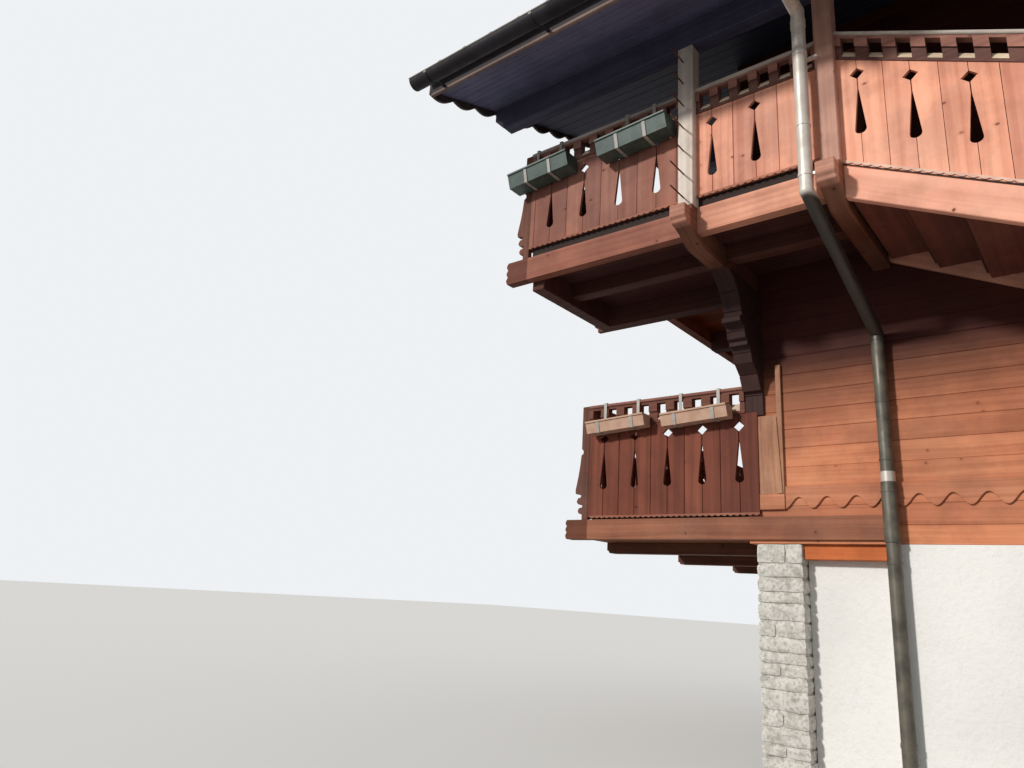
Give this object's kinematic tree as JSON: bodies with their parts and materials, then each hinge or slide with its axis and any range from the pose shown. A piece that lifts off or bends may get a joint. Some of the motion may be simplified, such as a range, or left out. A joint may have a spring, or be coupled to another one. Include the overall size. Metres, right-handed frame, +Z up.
{
  "type": "alpine_chalet",
  "caption": "Alpine timber chalet on a white rendered masonry base, with sawn-board balconies on two storeys, a covered outside stair down one side and a wide overhanging roof",
  "frame": {"origin": "bottom centre of the overall box, at ground level", "axes": "+X along the ridge, away from the gable with the galleries; -Y toward the side with the balcony and the stair; +Z up"},
  "size_m": [15.62, 13.826, 8.642],
  "materials": {
    "plaster": "rough white lime render",
    "rough_stone": "rough split stone, limewashed",
    "wall_timber": "oiled softwood",
    "pale_timber": "sun-bleached softwood",
    "dark_timber": "dark-stained softwood",
    "floor_boards": "bare boards",
    "stair_timber": "weathered softwood",
    "roof_tiles": "fired clay or concrete",
    "sheet_metal": "weathered, pre-coated",
    "joinery": "satin stain",
    "window_glass": "clear",
    "green_paint": "satin",
    "terracotta": "matt"
  },
  "bodies": {
    "root": {"cellar_long_walls": "plaster", "cellar_end_walls": "plaster", "corner_piers": "rough_stone", "front_wall_low": "wall_timber", "back_wall_low": "wall_timber", "west_wall_low": "wall_timber", "east_wall_low": "wall_timber", "front_wall_up": "wall_timber", "back_wall_up": "wall_timber", "west_gable": "wall_timber", "east_gable": "wall_timber", "floor_low": "floor_boards", "floor_up": "floor_boards", "roof_deck_front": "dark_timber", "roof_deck_back": "dark_timber", "roof_cover_front": "roof_tiles", "roof_cover_back": "roof_tiles", "ridge_cap": "roof_tiles", "bargeboards": "dark_timber", "fascias": "pale_timber", "gutters": "sheet_metal", "downpipes": "sheet_metal", "purlins": "dark_timber", "eave_consoles": "wall_timber", "corner_console": "wall_timber", "cantilever_beams": "wall_timber", "gallery_joists_up": "dark_timber", "edge_beams_up": "pale_timber", "deck_up": "dark_timber", "roof_posts": "pale_timber", "corner_posts": "wall_timber", "side_balustrade": "pale_timber", "gallery_balustrade_up": "pale_timber", "handrails_up": "pale_timber", "gallery_joists_low": "dark_timber", "edge_beams_low": "pale_timber", "deck_low": "dark_timber", "gallery_balustrade_low": "pale_timber", "handrails_low": "pale_timber", "foot_rails": "dark_timber", "post_pegs": "dark_timber", "wave_trims": "wall_timber", "corner_pilaster": "pale_timber", "niche_board": "pale_timber", "stair_strings": "pale_timber", "stair_treads_up": "stair_timber", "stair_treads_low": "stair_timber", "stair_risers": "stair_timber", "landing": "stair_timber", "stair_balustrade": "pale_timber", "stair_handrails": "pale_timber", "window_frames": "joinery", "window_glass": "window_glass", "doors": "joinery", "flower_boxes_up": "green_paint", "flower_boxes_low": "terracotta"}
  },
  "joints": []
}
